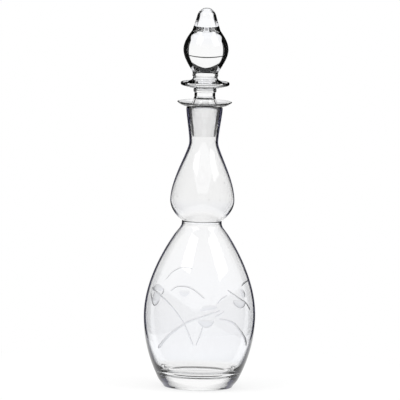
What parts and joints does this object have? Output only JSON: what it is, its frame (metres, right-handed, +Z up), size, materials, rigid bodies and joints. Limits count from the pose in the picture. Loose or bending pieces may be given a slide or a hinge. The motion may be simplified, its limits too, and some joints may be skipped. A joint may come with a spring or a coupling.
{
  "type": "decanter",
  "caption": "Tall double-gourd decanter of clear glass with a heavy base, a turned-out lip, a wheel-cut floral spray and a lift-out ground stopper with a collar and a pear-shaped finial.",
  "frame": {"origin": "centre of the base, on the surface that the decanter stands on", "axes": "+Z up along the turning axis towards the finial, with -Y towards the viewer of the picture"},
  "size_m": [0.1072, 0.1072, 0.365],
  "materials": {
    "body_glass": "clear fire-polished blown glass, with matte wheel-cut decoration on the lower body",
    "stopper_glass": "clear polished glass, finely ground on the plug"
  },
  "bodies": {
    "decanter": {"decanter_body": "body_glass", "lip_disc": "body_glass"},
    "stopper": {"stopper_peg": "stopper_glass", "stopper_collar": "stopper_glass", "stopper_finial": "stopper_glass"}
  },
  "joints": [
    {"name": "stopper_lift", "type": "slide", "parent": "decanter", "child": "stopper", "axis": [0, 0, 1], "range_m": [0, 0.06]}
  ]
}
